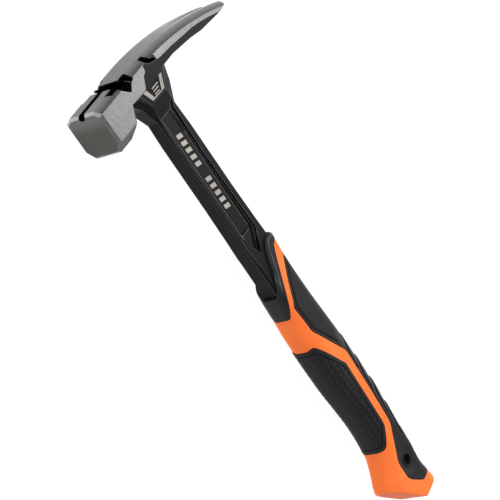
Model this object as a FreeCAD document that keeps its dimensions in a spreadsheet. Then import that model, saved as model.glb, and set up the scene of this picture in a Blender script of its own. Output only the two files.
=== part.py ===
"""One-piece forged framing hammer with straight claws and an overmoulded grip.

Every body is modelled in hammer coordinates and then placed in the part's frame:
  x runs down the handle from the flat top of the poll (0) to the butt (overall_length),
  y runs from the strike face (negative) to the claw tips (positive), 0 on the shaft's axis,
  z runs out of one cheek, 0 on the hammer's plane of symmetry.
The part lies on its cheek, so its origin is at the middle of its box, on the lower cheek.
"""
import FreeCAD, Part
import os
import Sketcher
from FreeCAD import Placement, Rotation, Vector

doc = FreeCAD.newDocument("claw_hammer")

# ---------------------------------------------------------------- driving dimensions (mm)
sheet = doc.addObject("Spreadsheet::Sheet", "Sizes")
SIZES = {
    # overall
    "overall_length": 373.0,
    "head_width": 31.8,        # a 1 1/4 in square face
    "face_reach": 59.6,        # strike face, forward of the shaft's axis
    "claw_reach": 91.5,        # claw tips, behind the shaft's axis
    # poll
    "poll_depth": 31.8,
    "face_bevel": 1.8,
    "top_bevel_side": 5.4,
    "top_bevel_down": 3.65,
    "low_bevel_side": 5.0,
    "low_bevel_down": 6.4,
    # claws
    "claw_arc": 286.685,       # radius of the top of the claws
    "claw_arc_start": -11.0,
    "claw_tip_drop": 18.95,
    "claw_tip_thick": 2.2,
    "vee_apex": 50.5,
    "vee_apex_half": 0.6,
    "vee_tip_half": 5.2,
    # nail starter
    "groove_radius": 2.6,
    "groove_bend": 2.7,        # radius of the groove's floor
    "groove_depth": 4.5,
    "groove_end": -33.0,
    "magnet_y": -42.0,
    "magnet_radius": 1.6,
    "magnet_top": 4.1,
    "magnet_foot": 7.3,
    # shaft
    "shaft_front": -12.3,
    "shaft_back": 11.5,
    "shaft_half": 6.0,
    "shaft_corner": 1.0,
    "shaft_top": 42.0,
    "shaft_foot": 192.0,
    "foot_half": 7.2,          # half width where the shaft enters the grip
    "foot_front": -12.9,
    "foot_back": 8.5,          # the shaft's back is stepped in under the collar
    "web_recess": 0.8,
    "channel_recess": 2.2,
    # tang, hidden in the grip
    "tang_front": -8.0,
    "tang_back": 7.0,
    "tang_half": 3.0,
    "tang_end": 322.0,
    "tang_root": 6.0,          # how far the tang's outline starts inside the shaft
    # grip
    "pad_depth": 2.2,
    "core_front": -9.5,
    "core_back": 8.0,
    "core_half": 6.5,
    "core_start": 198.0,
    "core_end": 334.0,
    "collar_top_back": 151.0,
    "collar_top_front": 187.5,
    # tether hole
    "tether_x": 342.0,
    "tether_y": -4.4,
    "tether_radius": 3.7,
    "bush_wall": 1.0,
    "bush_length": 22.8,
}


def size(name):
    """A driving dimension, read back from the sheet."""
    return float(sheet.get(name))


for row, (name, value) in enumerate(SIZES.items(), start=1):
    sheet.set(f"A{row}", name)
    sheet.set(f"B{row}", str(value))
    sheet.setAlias(f"B{row}", name)
doc.recompute()

PLACE = Placement(
    Vector(
        -size("overall_length") / 2,
        (size("face_reach") - size("claw_reach")) / 2,
        size("head_width") / 2,
    ),
    Rotation(),
)


CLEAR = 2.0                    # how far a cut runs past what it cuts
THROUGH = 60.0                 # a cut through the whole hammer, or a prism right across it
TOUCH = 0.05                   # a point this near an edge or a face lies on it


# ---------------------------------------------------------------- helpers
def number(value):
    """A plain number, from a number or from an expression on the sheet."""
    return float(sheet.evalExpression(value)) if isinstance(value, str) else float(value)


def arc_between(start, end, radius):
    """The short arc from start to end; a positive radius bulges to the right of the way."""
    chord = end - start
    middle = (start + end) * 0.5
    side = Vector(chord.y, -chord.x, 0).normalize()
    height = abs(radius) - (radius**2 - (chord.Length / 2) ** 2) ** 0.5
    return Part.Arc(start, middle + side * (height if radius > 0 else -height), end)


def draw(sketch, points):
    """Close an outline through the points; (x, y, radius) is reached by an arc."""
    corners = [Vector(number(point[0]), number(point[1]), 0) for point in points]
    ends = []
    for index, start in enumerate(corners):
        after = (index + 1) % len(points)
        end, reach = corners[after], points[after]
        if len(reach) == 2:
            sketch.addGeometry(Part.LineSegment(start, end), False)
            ends.append((1, 2))
        else:
            sketch.addGeometry(arc_between(start, end, number(reach[2])), False)
            ends.append((1, 2) if number(reach[2]) > 0 else (2, 1))
    for index, point in enumerate(points):
        after = (index + 1) % len(points)
        sketch.addConstraint(
            Sketcher.Constraint("Coincident", index, ends[index][1], after, ends[after][0])
        )
        for kind, value in zip(("DistanceX", "DistanceY"), point):
            place = Sketcher.Constraint(kind, index, ends[index][0], number(value))
            made = sketch.addConstraint(place)
            if isinstance(value, str):
                sketch.setExpression(f"Constraints[{made}]", value)
        if len(points[after]) == 3:
            bend = abs(number(points[after][2]))
            sketch.addConstraint(Sketcher.Constraint("Radius", index, bend))


def outline(body, name, role, points, offset=0.0):
    """A sketch on one of the body's own planes, moved along the plane's normal."""
    sketch = body.newObject("Sketcher::SketchObject", name)
    plane = [item for item in body.Origin.OriginFeatures if item.Role == role][0]
    sketch.AttachmentSupport = [(plane, "")]
    sketch.MapMode = "FlatFace"
    sketch.AttachmentOffset = Placement(Vector(0, 0, number(offset)), Rotation())
    if isinstance(offset, str):
        sketch.setExpression("AttachmentOffset.Base.z", offset)
    draw(sketch, points)
    return sketch


def extrude(body, kind, name, sketch, length, side="One side", back=False):
    """A Pad or a Pocket; a pocket's back=True cuts along the sketch's normal."""
    feature = body.newObject("PartDesign::" + kind, name)
    feature.Profile = sketch
    feature.SideType = side
    feature.Reversed = back
    if isinstance(length, str):
        feature.setExpression("Length", length)
    else:
        feature.Length = length
    before = body.Shape.Volume if not body.Shape.isNull() else 0.0
    doc.recompute()
    if kind == "Pocket" and body.Shape.Volume > before - 0.05:
        raise RuntimeError(name + " cuts nothing")
    return feature


def mirror(body, name, features):
    """The same features on the far side of the plane of symmetry."""
    twin = body.newObject("PartDesign::Mirrored", name)
    twin.Originals = features
    plane = [item for item in body.Origin.OriginFeatures if item.Role == "XY_Plane"][0]
    twin.MirrorPlane = (plane, [""])
    body.Tip = twin
    doc.recompute()
    return twin


def new_body(name):
    """A body drawn in hammer coordinates and placed in the part's frame."""
    body = doc.addObject("PartDesign::Body", name)
    body.Label = name
    body.Placement = PLACE
    return body


def edges_where(shape, test):
    """Names of the edges whose every point, tried at both ends and the middle, passes."""
    names = []
    for index, edge in enumerate(shape.Edges, start=1):
        first, last = edge.ParameterRange
        tries = [edge.valueAt(first), edge.valueAt((first + last) / 2), edge.valueAt(last)]
        if all(test(point) for point in tries):
            names.append(f"Edge{index}")
    return names


# ---------------------------------------------------------------- the forging
forging = new_body("hammer_forging")
HALF_HEAD = "Sizes.head_width / 2"

# Side outline of the wide part: poll, cheek and claws.
HEAD_OUTLINE = [
    (0, "-Sizes.face_reach"),
    (0, "Sizes.claw_arc_start"),
    ("Sizes.claw_tip_drop", "Sizes.claw_reach", "-Sizes.claw_arc"),
    ("Sizes.claw_tip_drop + Sizes.claw_tip_thick", "Sizes.claw_reach"),
    (22.1, 81.0),                      # end of the ground bevel under the tips
    (20.0, 57.0),
    (17.4, 44.0),
    (14.8, 23.0),
    (14.8, 9.0),                       # claw root
    (16.4, 7.2),                       # raised plate of the cheek
    (28.9, 5.4),
    (28.7, -13.1),
    (17.0, -22.0),
    (15.4, -32.1),                     # back of the poll
    (22.8, -35.8),
    (27.5, -39.0),
    ("Sizes.poll_depth", -44.5),
    ("Sizes.poll_depth", "-Sizes.face_reach"),
]
head_side = outline(forging, "head_side", "XY_Plane", HEAD_OUTLINE)
extrude(forging, "Pad", "head_block", head_side, "Sizes.head_width", side="Symmetric")

# Cross-sections of the neck and the shaft, each at its x:
# (x, front, back, half width, front corner run, front half, back corner run, back half)
CORNER = "Sizes.shaft_corner"
HALF = "Sizes.shaft_half"
FOOT = "Sizes.foot_half"
FOOT_FRONT = "Sizes.foot_front"
FOOT_BACK = "Sizes.foot_back"
SHAFT_SECTIONS = [
    (12.0, -31.0, 22.0, 14.0, 9.0, 7.0, 13.2, 9.5),
    (18.0, -26.5, 18.0, 12.6, 8.0, 6.5, 10.8, 9.0),
    (28.0, -18.0, 15.5, 10.0, 5.5, 5.5, 10.1, 7.7),
    ("Sizes.shaft_top", "Sizes.shaft_front", "Sizes.shaft_back", HALF, 2.0, 4.2, 2.0, 4.2),
    (60.0, "Sizes.shaft_front", "Sizes.shaft_back", HALF, CORNER, 5.0, CORNER, 5.0),
    (112.0, "Sizes.shaft_front", "Sizes.shaft_back", HALF, CORNER, 5.0, CORNER, 5.0),
    (138.0, -12.8, 12.1, HALF, CORNER, 5.0, CORNER, 5.0),
    (153.0, FOOT_FRONT, 12.2, 6.5, CORNER, 5.1, CORNER, 5.1),
    (164.0, FOOT_FRONT, FOOT_BACK, 6.9, 2.0, 5.3, 2.0, 5.3),
    (174.0, FOOT_FRONT, FOOT_BACK, FOOT, 2.0, 5.4, 2.0, 5.4),
    ("Sizes.shaft_foot", FOOT_FRONT, FOOT_BACK, FOOT, 2.0, 5.4, 2.0, 5.4),
]


def joined(first, sign, second):
    """An expression that adds or subtracts two values."""
    return f"({first}) {sign} ({second})"


def section_points(front, back, half, front_run, front_half, back_run, back_half):
    """An eight-sided section, (y, z), with its long sides across the hammer."""
    near = [
        (front, front_half),
        (joined(front, "+", front_run), half),
        (joined(back, "-", back_run), half),
        (back, back_half),
    ]
    far = [(along, f"-({across})") for along, across in reversed(near)]
    return near + far


def loft_of(body, name, sections):
    sketches = [
        outline(body, f"{name}_section_{index}", "YZ_Plane", section_points(*row[1:]), row[0])
        for index, row in enumerate(sections, start=1)
    ]
    loft = body.newObject("PartDesign::AdditiveLoft", name)
    loft.Profile = sketches[0]
    loft.Sections = sketches[1:]
    loft.Ruled = True
    doc.recompute()
    return loft


loft_of(forging, "shaft", SHAFT_SECTIONS)

TANG_OUTLINE = [
    ("Sizes.shaft_foot - Sizes.tang_root", "Sizes.tang_front"),
    ("Sizes.tang_end", "Sizes.tang_front"),
    ("Sizes.tang_end", "Sizes.tang_back"),
    ("Sizes.shaft_foot - Sizes.tang_root", "Sizes.tang_back"),
]
tang_side = outline(forging, "tang_side", "XY_Plane", TANG_OUTLINE)
extrude(forging, "Pad", "tang", tang_side, "2 * Sizes.tang_half", side="Symmetric")

# The cheek falls away towards the neck, and the poll's lower corners are bevelled.
CHEEK_FALL = [
    (16.0, HALF_HEAD),
    (32.0, 9.2),
    (32.0, "Sizes.head_width / 2 + 2"),
    (16.0, "Sizes.head_width / 2 + 2"),
]
CHEEK_FRONT = 31.5             # the falling cheek starts this far in front of the shaft's axis
CHEEK_BACK = 20.0              # and ends this far behind it
LOW_BEVEL_RUN = 22.0           # length of the poll's lower bevels
cheek_cut = extrude(
    forging, "Pocket", "cheek_fall",
    outline(forging, "cheek_fall_side", "XZ_Plane", CHEEK_FALL, CHEEK_FRONT),
    CHEEK_FRONT + CHEEK_BACK,
)
LOW_BEVEL = [
    ("Sizes.poll_depth - Sizes.low_bevel_down", HALF_HEAD),
    ("Sizes.poll_depth", "Sizes.head_width / 2 - Sizes.low_bevel_side"),
    ("Sizes.poll_depth + 2", "Sizes.head_width / 2 - Sizes.low_bevel_side"),
    ("Sizes.poll_depth + 2", "Sizes.head_width / 2 + 2"),
    ("Sizes.poll_depth - Sizes.low_bevel_down", "Sizes.head_width / 2 + 2"),
]
low_cut = extrude(
    forging, "Pocket", "low_bevel",
    outline(forging, "low_bevel_side", "XZ_Plane", LOW_BEVEL, "Sizes.face_reach"), LOW_BEVEL_RUN,
)
mirror(forging, "cheek_and_bevel_far", [cheek_cut, low_cut])


def bevel(body, name, test, along, down=None):
    """A chamfer on the edges that pass the test; down makes it an uneven one."""
    base = body.Tip
    feature = body.newObject("PartDesign::Chamfer", name)
    feature.Base = (base, edges_where(base.Shape, test))
    feature.setExpression("Size", along)
    if down:
        feature.ChamferType = "Two distances"
        feature.setExpression("Size2", down)
    doc.recompute()
    return feature


def on_top_edge(point):
    """True on the long edges between the top of the head and its cheeks."""
    centre = Vector(size("claw_arc"), size("claw_arc_start"), point.z)
    on_arc = abs(point.distanceToPoint(centre) - size("claw_arc")) < TOUCH
    on_top = abs(point.x) < TOUCH or (on_arc and point.y > size("claw_arc_start"))
    return on_top and abs(abs(point.z) - size("head_width") / 2) < TOUCH


def on_face(point):
    """True on the outline of the strike face."""
    return abs(point.y + size("face_reach")) < TOUCH


# Bevels along the top of poll and claws, then round the strike face.
bevel(forging, "top_bevel", on_top_edge, "Sizes.top_bevel_side", "Sizes.top_bevel_down")
bevel(forging, "face_bevel", on_face, "Sizes.face_bevel")

# The gap between the claws.
VEE = [
    ("Sizes.vee_apex", "-Sizes.vee_apex_half"),
    ("Sizes.claw_reach + 1", "-Sizes.vee_tip_half"),
    ("Sizes.claw_reach + 1", "Sizes.vee_tip_half"),
    ("Sizes.vee_apex", "Sizes.vee_apex_half"),
]
vee = outline(forging, "vee_top", "YZ_Plane", VEE)
extrude(forging, "Pocket", "claw_gap", vee, THROUGH, back=True)

# Nail starter: a round-bottomed groove along the top that ends in a slot for the nail's head.
GROOVE = [
    (-1.0, "-Sizes.groove_radius"),
    ("Sizes.groove_depth - Sizes.groove_radius", "-Sizes.groove_radius"),
    ("Sizes.groove_depth - Sizes.groove_radius", "Sizes.groove_radius", "Sizes.groove_bend"),
    (-1.0, "Sizes.groove_radius"),
]
groove = outline(forging, "groove_end_view", "XZ_Plane", GROOVE, "Sizes.face_reach + 1")
extrude(forging, "Pocket", "nail_groove", groove, "Sizes.face_reach + 1 + Sizes.groove_end")
SLOT = [
    (-1.0, -34.3),
    (4.4, -32.7),
    (8.3, -28.4),
    (8.3, -24.7, 2.2),
    (5.5, -22.0),
    (3.4, -23.6),
    (-1.0, -24.4),
]
slot = outline(forging, "head_slot_side", "XY_Plane", SLOT)
extrude(forging, "Pocket", "head_slot", slot, THROUGH, side="Symmetric")


def disc(body, name, role, across, up, radius, offset=0.0):
    """A sketch of one circle; its place and radius follow the sheet."""
    sketch = outline(body, name, role, [], offset)
    centre = Vector(number(across), number(up), 0)
    sketch.addGeometry(Part.Circle(centre, Vector(0, 0, 1), number(radius)), False)
    for kind, value in (("DistanceX", across), ("DistanceY", up)):
        made = sketch.addConstraint(Sketcher.Constraint(kind, 0, 3, number(value)))
        sketch.setExpression(f"Constraints[{made}]", str(value))
    made = sketch.addConstraint(Sketcher.Constraint("Radius", 0, number(radius)))
    sketch.setExpression(f"Constraints[{made}]", radius)
    return sketch


seat = disc(forging, "magnet_seat_top", "YZ_Plane", "Sizes.magnet_y", "0", "Sizes.magnet_radius")
extrude(forging, "Pocket", "magnet_seat", seat, "Sizes.magnet_foot", back=True)

# Rough pockets beside the slot, in the top bevels, and the nail-puller notch in each cheek.
REAR_POCKET = [(-1.0, -25.4), (5.6, -22.1), (4.4, -18.6), (-1.0, -17.6)]
REAR_POCKET_DEEP = 7.4
FRONT_POCKET_DEEP = 2.4
NOTCH_DEEP = 5.0
rear_pocket = extrude(
    forging, "Pocket", "rear_pocket",
    outline(forging, "rear_pocket_side", "XY_Plane", REAR_POCKET, HALF_HEAD), REAR_POCKET_DEEP,
)
FRONT_POCKET = [(-33.6, 8.6), (-33.0, 13.6), (-38.8, 14.6), (-43.4, 9.2)]
front_pocket = extrude(
    forging, "Pocket", "front_pocket",
    outline(forging, "front_pocket_top", "YZ_Plane", FRONT_POCKET, -CLEAR),
    CLEAR + FRONT_POCKET_DEEP, back=True,
)
NOTCH = [
    (-1.0, -2.4),
    (4.1, -2.8),
    (6.4, 0.2),
    (8.2, 6.3),
    (8.6, 7.4),
    (5.6, 6.7),
    (4.2, 2.8),
    (-1.0, 1.6),
]
notch = extrude(
    forging, "Pocket", "side_notch",
    outline(forging, "side_notch_side", "XY_Plane", NOTCH, HALF_HEAD), NOTCH_DEEP,
)

# Shallow panel and deeper channel in each side of the shaft.
PANEL = [(40.0, -9.0), (40.0, 3.4), (138.0, 2.2), (146.0, -3.0), (149.0, -6.6), (140.0, -9.0)]
panel = extrude(
    forging, "Pocket", "web_panel",
    outline(forging, "web_panel_side", "XY_Plane", PANEL, HALF), "Sizes.web_recess",
)
CHANNEL = [
    (34.6, 10.2),
    (40.2, 3.6),
    (79.7, 2.7),
    (136.8, 2.1),
    (150.1, -6.8),
    (157.5, -3.3),
    (141.9, 7.0),
    (81.9, 5.7),
    (43.2, 6.8),
]
channel = extrude(
    forging, "Pocket", "side_channel",
    outline(forging, "side_channel_side", "XY_Plane", CHANNEL, "Sizes.shaft_half + 3"),
    "3 + Sizes.channel_recess",
)
mirror(forging, "far_side_cuts", [rear_pocket, front_pocket, notch, panel, channel])

# ---------------------------------------------------------------- the magnet
magnet = new_body("nail_magnet")
magnet_end = disc(
    magnet, "magnet_end", "YZ_Plane", "Sizes.magnet_y", "0", "Sizes.magnet_radius",
    "Sizes.magnet_top",
)
extrude(magnet, "Pad", "magnet_disc", magnet_end, "Sizes.magnet_foot - Sizes.magnet_top")

# ---------------------------------------------------------------- the grip's outer form
# Rounded sections of the grip: x, front, back, half width, corner radius.
GRIP_SECTIONS = [
    (147.0, -13.5, 14.2, 8.5, 3.0),
    (160.0, -13.9, 13.4, 9.0, 3.6),
    (172.0, -14.4, 12.5, 9.6, 4.6),
    (186.0, -15.3, 12.3, 10.7, 6.4),
    (200.0, -16.4, 12.9, 11.8, 8.4),
    (219.0, -18.4, 14.0, 12.7, 10.4),
    (240.0, -19.0, 14.9, 12.8, 10.5),
    (262.0, -18.8, 15.1, 12.8, 10.5),
    (287.0, -17.0, 15.0, 12.8, 10.5),
    (300.0, -16.3, 14.3, 12.8, 10.5),
    (312.0, -16.8, 13.6, 12.8, 10.5),
    (326.0, -19.4, 12.8, 12.6, 10.5),
    (334.0, -23.0, 12.4, 12.4, 10.5),
    (340.0, -26.6, 12.0, 12.2, 10.3),
    (346.0, -30.9, 11.1, 12.0, 10.2),
    (354.0, -32.9, 10.2, 12.0, 10.2),
    (364.0, -33.6, 11.3, 12.2, 10.4),
    (384.0, -34.0, 13.6, 12.4, 10.6),
]


def round_outline(front, back, half, radius, inset):
    """A rounded rectangle, (y, z), drawn from its front; inset pulls every side in."""
    low = joined(front, "+", inset)
    high = joined(back, "-", inset)
    side = joined(half, "-", inset)
    bend = joined(radius, "-", inset)
    straight = joined(half, "-", radius)
    turn = f"-({bend})"
    return [
        (low, straight),
        (joined(low, "+", bend), side, turn),
        (joined(high, "-", bend), side),
        (high, straight, turn),
        (high, f"-({straight})"),
        (joined(high, "-", bend), f"-({side})", turn),
        (joined(low, "+", bend), f"-({side})"),
        (low, f"-({straight})", turn),
    ]


def grip_form(name, inset):
    """The grip's solid outer form, or one that lies the inset inside it."""
    body = new_body(name)
    sketches = [
        outline(body, f"{name}_{index}", "YZ_Plane", round_outline(*row[1:], inset), row[0])
        for index, row in enumerate(GRIP_SECTIONS, start=1)
    ]
    loft = body.newObject("PartDesign::AdditiveLoft", name + "_loft")
    loft.Profile = sketches[0]
    loft.Sections = sketches[1:]
    loft.Ruled = True
    doc.recompute()
    return body


outer = grip_form("outer_form", "0")
inner = grip_form("inner_form", "Sizes.pad_depth")

# Ends of the grip: the slanted top of the collar, and the slanted bottom of the butt.
ABOVE_GRIP = [
    (140.0, -25.0),
    (140.0, 20.0),
    ("Sizes.collar_top_back", 20.0),
    ("Sizes.collar_top_back", 9.7),
    (156.4, 2.0),
    (166.9, -3.9),
    (172.6, -6.1),
    (178.0, -11.0),
    ("Sizes.collar_top_front", -14.4),
    ("Sizes.collar_top_front", -25.0),
]
BELOW_GRIP = [
    (337.8, -42.0),
    (347.2, -31.8),                            # toe
    ("Sizes.overall_length", -8.7),            # lowest point of the heel
    (370.5, 12.4),
    (370.5, 30.0),
    (400.0, 30.0),
    (400.0, -42.0),
]
for form in (outer, inner):
    for name, points in (("above", ABOVE_GRIP), ("below", BELOW_GRIP)):
        side_view = outline(form, f"{form.Name}_{name}", "XY_Plane", points)
        extrude(form, "Pocket", f"{form.Name}_{name}_cut", side_view, THROUGH, side="Symmetric")

# ---------------------------------------------------------------- solids that divide the grip
def prism(name, points):
    """A side view, pulled through the whole grip."""
    sketch = doc.addObject("Sketcher::SketchObject", name + "_outline")
    sketch.Placement = PLACE
    draw(sketch, points)
    solid = doc.addObject("Part::Extrusion", name)
    solid.Base = sketch
    solid.DirMode = "Custom"
    solid.Dir = Vector(0, 0, 1)
    solid.LengthFwd = THROUGH
    solid.Symmetric = True
    solid.Solid = True
    return solid


def cut(name, base, tool):
    result = doc.addObject("Part::Cut", name)
    result.Base, result.Tool = base, tool
    return result


def common(name, *shapes):
    result = doc.addObject("Part::MultiCommon", name)
    result.Shapes = list(shapes)
    return result


COLLAR_SIDE = [
    (140.0, 20.0),
    (140.0, -20.0),
    (204.6, -20.0),
    (204.6, -15.6),
    (192.8, -12.0),
    (188.9, -10.3),
    (160.4, 7.8),
    (157.0, 20.0),
]
FRONT_PAD_SIDE = [
    (230.0, -24.0),
    (230.0, -15.4),
    (255.7, -2.4),
    (306.0, -4.6),
    (309.4, -5.2),
    (322.2, -13.2),
    (323.6, -16.0),
    (323.6, -24.0),
]
BACK_PAD_SIDE = [
    (165.0, 20.0),
    (166.4, 11.6),
    (184.2, -2.3),
    (198.9, -11.9),
    (220.7, -11.7),
    (250.4, 4.1),
    (286.3, 2.4),
    (312.0, 0.4),
    (336.7, -15.0),
    (350.6, -14.7),
    (354.0, -12.8),
    (363.3, -3.3),
    (362.4, 8.0),
    (364.6, 20.0),
]
steel_room = new_body("steel_room")
loft_of(steel_room, "room_shaft", SHAFT_SECTIONS[4:])
room_tang = outline(steel_room, "room_tang_side", "XY_Plane", TANG_OUTLINE)
extrude(steel_room, "Pad", "room_tang", room_tang, "2 * Sizes.tang_half", side="Symmetric")

# ---------------------------------------------------------------- tether bush and hard core
bush = new_body("tether_bush")
bush_ring = disc(
    bush, "bush_outside", "XY_Plane", "Sizes.tether_x", "Sizes.tether_y",
    "Sizes.tether_radius + Sizes.bush_wall",
)
extrude(bush, "Pad", "bush_body", bush_ring, "Sizes.bush_length", side="Symmetric")
bush_room = new_body("bush_room")
room_ring = disc(
    bush_room, "room_outside", "XY_Plane", "Sizes.tether_x", "Sizes.tether_y",
    "Sizes.tether_radius + Sizes.bush_wall",
)
extrude(bush_room, "Pad", "room_hole", room_ring, THROUGH, side="Symmetric")
bush_hole = disc(
    bush, "bush_inside", "XY_Plane", "Sizes.tether_x", "Sizes.tether_y", "Sizes.tether_radius",
)
extrude(bush, "Pocket", "bush_bore", bush_hole, THROUGH, side="Symmetric")

CORE_SIDE = [
    ("Sizes.core_start", "Sizes.core_front"),
    ("Sizes.core_end", "Sizes.core_front"),
    ("Sizes.core_end", "Sizes.core_back"),
    ("Sizes.core_start", "Sizes.core_back"),
]
core_block = new_body("core_block")
core_side = outline(core_block, "core_block_side", "XY_Plane", CORE_SIDE)
extrude(core_block, "Pad", "core_pad", core_side, "2 * Sizes.core_half", side="Symmetric")
core = cut("grip_core", core_block, steel_room)

# ---------------------------------------------------------------- the grip's layers
collar_solid = common("collar_solid", outer, prism("collar_prism", COLLAR_SIDE))
collar = cut("collar", collar_solid, steel_room)
skin = cut("skin", outer, inner)
front_pad = common("front_pad", skin, prism("front_pad_prism", FRONT_PAD_SIDE))
back_pad_solid = common("back_pad_solid", skin, prism("back_pad_prism", BACK_PAD_SIDE))
back_pad = cut("back_pad", back_pad_solid, bush_room)
orange = outer
for room in (collar_solid, front_pad, back_pad_solid, core_block, steel_room):
    orange = cut("grip_without_" + room.Name, orange, room)
grip_body = cut("grip_body", orange, bush_room)
doc.recompute()

# ---------------------------------------------------------------- check and export
PIECES = [forging, magnet, core, collar, grip_body, front_pad, back_pad, bush]
for piece in PIECES:
    piece.Label = piece.Name
for item in doc.Objects:
    if any(word in item.State for word in ("Invalid", "Error")):
        raise RuntimeError(f"{item.Name} failed: {item.State}")
os.makedirs("parts", exist_ok=True)
for piece in PIECES:
    shape = piece.Shape
    if shape.isNull() or not shape.isValid() or not shape.Solids:
        raise RuntimeError(piece.Name + " has no valid solid")
    shape.exportStep(f"parts/{piece.Label}.step")
    print(piece.Label, len(shape.Solids), round(shape.Volume), shape.BoundBox)
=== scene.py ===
"""Looks of the claw hammer: materials, the moulded grip, marks, floor, light and camera."""

import math

import bpy
import numpy as np
from mathutils import Matrix, Vector


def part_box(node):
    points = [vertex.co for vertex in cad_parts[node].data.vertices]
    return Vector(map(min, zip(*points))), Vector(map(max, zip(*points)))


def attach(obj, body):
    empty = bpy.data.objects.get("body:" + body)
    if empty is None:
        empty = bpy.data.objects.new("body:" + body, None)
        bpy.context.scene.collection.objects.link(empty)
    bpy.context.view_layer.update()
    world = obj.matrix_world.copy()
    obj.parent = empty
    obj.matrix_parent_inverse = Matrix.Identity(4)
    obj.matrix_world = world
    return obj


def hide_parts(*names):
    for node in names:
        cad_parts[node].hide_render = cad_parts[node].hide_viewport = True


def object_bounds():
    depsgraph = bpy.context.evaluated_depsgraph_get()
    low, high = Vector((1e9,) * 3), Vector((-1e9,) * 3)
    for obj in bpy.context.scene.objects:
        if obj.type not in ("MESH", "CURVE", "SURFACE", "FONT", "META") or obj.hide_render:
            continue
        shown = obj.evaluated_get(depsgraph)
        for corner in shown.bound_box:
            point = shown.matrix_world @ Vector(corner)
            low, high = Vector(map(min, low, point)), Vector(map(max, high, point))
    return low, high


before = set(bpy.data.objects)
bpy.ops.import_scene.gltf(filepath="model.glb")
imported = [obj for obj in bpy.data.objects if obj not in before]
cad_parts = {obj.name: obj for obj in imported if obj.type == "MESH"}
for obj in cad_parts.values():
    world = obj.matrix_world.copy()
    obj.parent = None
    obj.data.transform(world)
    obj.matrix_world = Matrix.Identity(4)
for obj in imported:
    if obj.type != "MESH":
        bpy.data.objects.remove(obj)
cad_low, cad_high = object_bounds()

# ---------------------------------------------------------------- hammer coordinates
# x runs down the handle from the poll's top, y from the strike face (-) to the claws (+),
# z out of the upper cheek, all in millimetres and from the shaft's axis.
MM = 0.001
FACE_REACH = 59.6              # from the strike face to the shaft's axis
HEAD_HALF = 15.9               # half the thickness of the head
forging_low, forging_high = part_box("hammer_forging")
ORIGIN = Vector((
    forging_low.x,
    forging_low.y + FACE_REACH * MM,
    (forging_low.z + forging_high.z) / 2,
))


def place(x, y, z):
    """A point in hammer millimetres, as the row's metres."""
    return ORIGIN + Vector((x, y, z)) * MM


# ---------------------------------------------------------------- camera, floor and light
TOWARDS_CAMERA = Vector((-0.3800, -0.6483, 0.6598)).normalized()
IMAGE_UP = Vector((-0.7623, 0.6235, 0.1736))
TARGET = place(152.8, -3.95, 0.0)
DISTANCE = 1.5159
LENS = 166.8
FLOOR_SIZE = 30.0
FLOOR_GAP = 0.0002             # the floor lies this far under the hammer
FLOOR_TONE = 0.06
FLOOR_GLOW = 0.97
WORLD_STRENGTH = 0.5
LIGHT_DISTANCE = 1.6
# Each light's name, the way it lies from the hammer's middle, its size in metres and its power.
LIGHTS = [
    ("key", (-0.45, 0.15, 1.0), 1.0, 19.0),
    ("side", (0.3, -1.0, 0.4), 0.5, 1.0),
    ("rim", (0.1, 1.0, 0.45), 0.6, 12.0),
]


def make_camera():
    """The photographer's camera: it looks at the target, with the image's up given."""
    data = bpy.data.cameras.new("camera")
    data.lens = LENS
    data.sensor_width = 36.0
    data.clip_end = 50.0
    camera = bpy.data.objects.new("camera", data)
    bpy.context.scene.collection.objects.link(camera)
    back = TOWARDS_CAMERA
    right = IMAGE_UP.cross(back).normalized()
    up = back.cross(right)
    turn = Matrix((right, up, back)).transposed().to_4x4()
    camera.matrix_world = Matrix.Translation(TARGET + back * DISTANCE) @ turn
    bpy.context.scene.camera = camera


make_camera()


def mesh_object(name, vertices, faces, smooth=True):
    """A new object in the scene from points in metres and faces."""
    mesh = bpy.data.meshes.new(name)
    mesh.from_pydata(vertices, [], faces)
    mesh.update()
    for polygon in mesh.polygons:
        polygon.use_smooth = smooth
    thing = bpy.data.objects.new(name, mesh)
    bpy.context.scene.collection.objects.link(thing)
    return thing


def new_material(name):
    """A node material; returns it with its tree and its shader."""
    material = bpy.data.materials.new(name)
    material.use_nodes = True
    tree = material.node_tree
    return material, tree, tree.nodes["Principled BSDF"]


def make_floor():
    """A white paper floor, which glows so that the hammer's shadow stays faint."""
    half = FLOOR_SIZE / 2
    corners = [(-half, -half, 0), (half, -half, 0), (half, half, 0), (-half, half, 0)]
    floor = mesh_object("floor", corners, [(0, 1, 2, 3)])
    floor.location.z = cad_low.z - FLOOR_GAP
    material, _, shader = new_material("floor_paper")
    shader.inputs["Base Color"].default_value = (FLOOR_TONE, FLOOR_TONE, FLOOR_TONE, 1)
    shader.inputs["Roughness"].default_value = 0.9
    shader.inputs["Emission Color"].default_value = (1, 1, 1, 1)
    shader.inputs["Emission Strength"].default_value = FLOOR_GLOW
    floor.data.materials.append(material)


def make_light(name, towards, size, power):
    """A square area light that looks back at the hammer's middle."""
    data = bpy.data.lights.new(name, "AREA")
    data.shape = "SQUARE"
    data.size = size
    data.energy = power
    lamp = bpy.data.objects.new(name, data)
    bpy.context.scene.collection.objects.link(lamp)
    away = Vector(towards).normalized()
    lamp.location = TARGET + away * LIGHT_DISTANCE
    lamp.rotation_euler = away.to_track_quat("Z", "Y").to_euler()


def make_world():
    """An even white surrounding."""
    world = bpy.data.worlds.new("studio")
    bpy.context.scene.world = world
    world.use_nodes = True
    background = world.node_tree.nodes["Background"]
    background.inputs["Color"].default_value = (1, 1, 1, 1)
    background.inputs["Strength"].default_value = WORLD_STRENGTH


make_floor()
make_world()
for light in LIGHTS:
    make_light(*light)
bpy.context.scene.view_settings.view_transform = "Standard"


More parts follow.
